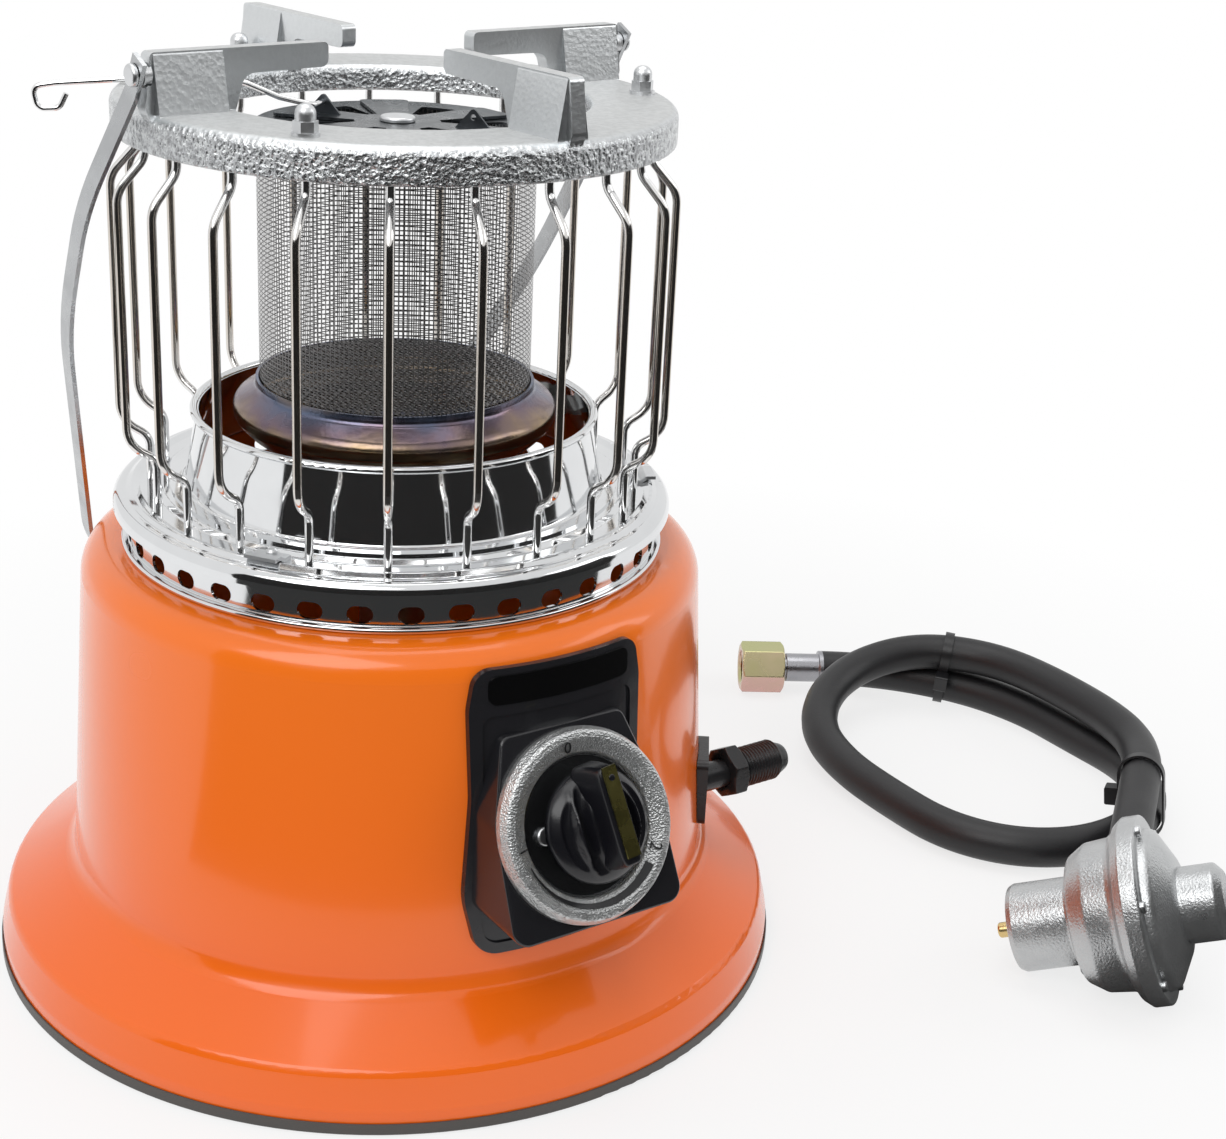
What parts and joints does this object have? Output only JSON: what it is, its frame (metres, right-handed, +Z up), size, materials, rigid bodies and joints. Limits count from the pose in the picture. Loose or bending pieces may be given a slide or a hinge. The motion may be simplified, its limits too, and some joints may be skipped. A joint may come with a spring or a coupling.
{
  "type": "portable propane heater",
  "caption": "Tabletop propane heater with a flared drum base, wire guard, pan support, bail handle and a separate coiled hose with a regulator.",
  "frame": {"origin": "middle of the underside, on the floor", "axes": "+Z up; the control panel faces -Y and the gas inlet points along +X"},
  "size_m": [0.5033, 0.3775, 0.34],
  "materials": {
    "shell_paint": "gloss",
    "black_trim": "matte",
    "plated_sheet": "polished",
    "plain_steel": "satin",
    "heat_steel": "heat tinted",
    "mesh_steel": "woven",
    "dark_steel": "blackened",
    "wire_chrome": "polished",
    "cast_plate": "bright plated casting",
    "zinc_screw": "plated",
    "bail_steel": "plated",
    "panel_gloss": "gloss",
    "panel_inlay": "gloss",
    "knob_plastic": "satin",
    "strip_brass": "satin",
    "brass": "machined",
    "black_fitting": "satin",
    "hose_rubber": "satin",
    "yellow_zinc": "yellow passivated",
    "die_cast": "as cast",
    "tie_nylon": "satin"
  },
  "bodies": {
    "heater": {"body_shell": "shell_paint", "edge_trim": "black_trim", "bottom_plate": "plain_steel", "base_screws": "zinc_screw", "vent_collar": "plated_sheet", "reflector_tray": "plated_sheet", "reflector_cone": "plated_sheet", "tray_clips": "zinc_screw", "clip_screws": "zinc_screw", "burner_bracket": "plain_steel", "mixing_tube": "plain_steel", "jet_holder": "brass", "burner_bell": "heat_steel", "burner_mesh": "mesh_steel", "burner_floor": "mesh_steel", "burner_cap": "dark_steel", "damper_rivet": "zinc_screw", "guard_wires_left": "wire_chrome", "guard_wires_right": "wire_chrome", "guard_wires_rear": "wire_chrome", "guard_top_ring": "wire_chrome", "pan_support": "cast_plate", "ring_studs": "zinc_screw", "acorn_nuts": "zinc_screw", "bail_rivets": "zinc_screw", "control_panel": "panel_gloss", "name_plate": "panel_inlay", "dial_ring": "plated_sheet", "dial_screws": "zinc_screw", "valve_body": "brass", "gas_tube": "plain_steel", "inlet_pipe": "black_fitting", "inlet_plate": "black_fitting", "inlet_fitting": "black_fitting", "hose": "hose_rubber", "hose_stem": "zinc_screw", "regulator_body": "die_cast", "regulator_cover": "die_cast", "regulator_cap": "die_cast", "regulator_pin": "brass", "regulator_screws": "zinc_screw", "regulator_ferrule": "zinc_screw", "cable_ties": "tie_nylon"},
    "bail": {"bail_handle": "bail_steel"},
    "damper": {"damper_disc": "dark_steel", "damper_rod": "wire_chrome"},
    "valve_cock": {"valve_plug": "brass"},
    "knob_stack": {"knob": "knob_plastic", "knob_strip": "strip_brass", "knob_spindle": "brass"},
    "union_nut": {"hose_nut": "yellow_zinc"}
  },
  "joints": [
    {"name": "bail_swing", "type": "hinge", "parent": "heater", "child": "bail", "pos_m": [0, 0, 0.333], "axis": [0.9945, 0.1045, 0], "range_deg": [0, 225]},
    {"name": "damper_turn", "type": "hinge", "parent": "heater", "child": "damper", "pos_m": [0, 0, 0.3108], "axis": [0, 0, 1], "range_deg": [-30, 22]},
    {"name": "knob_turn", "type": "hinge", "parent": "heater", "child": "valve_cock", "pos_m": [0, -0.1315, 0.0985], "axis": [0, -0.9063, 0.4226], "range_deg": [0, 234]},
    {"name": "knob_push", "type": "slide", "parent": "valve_cock", "child": "knob_stack", "axis": [0, 0.9063, -0.4226], "range_m": [0, 0.004], "stiffness_N_per_m": 600, "springref_m": -0.002},
    {"name": "union_spin", "type": "hinge", "parent": "heater", "child": "union_nut", "pos_m": [0.2495, 0.0955, 0.01105], "axis": [-0.8533, 0.5214, 0], "continuous": true}
  ]
}
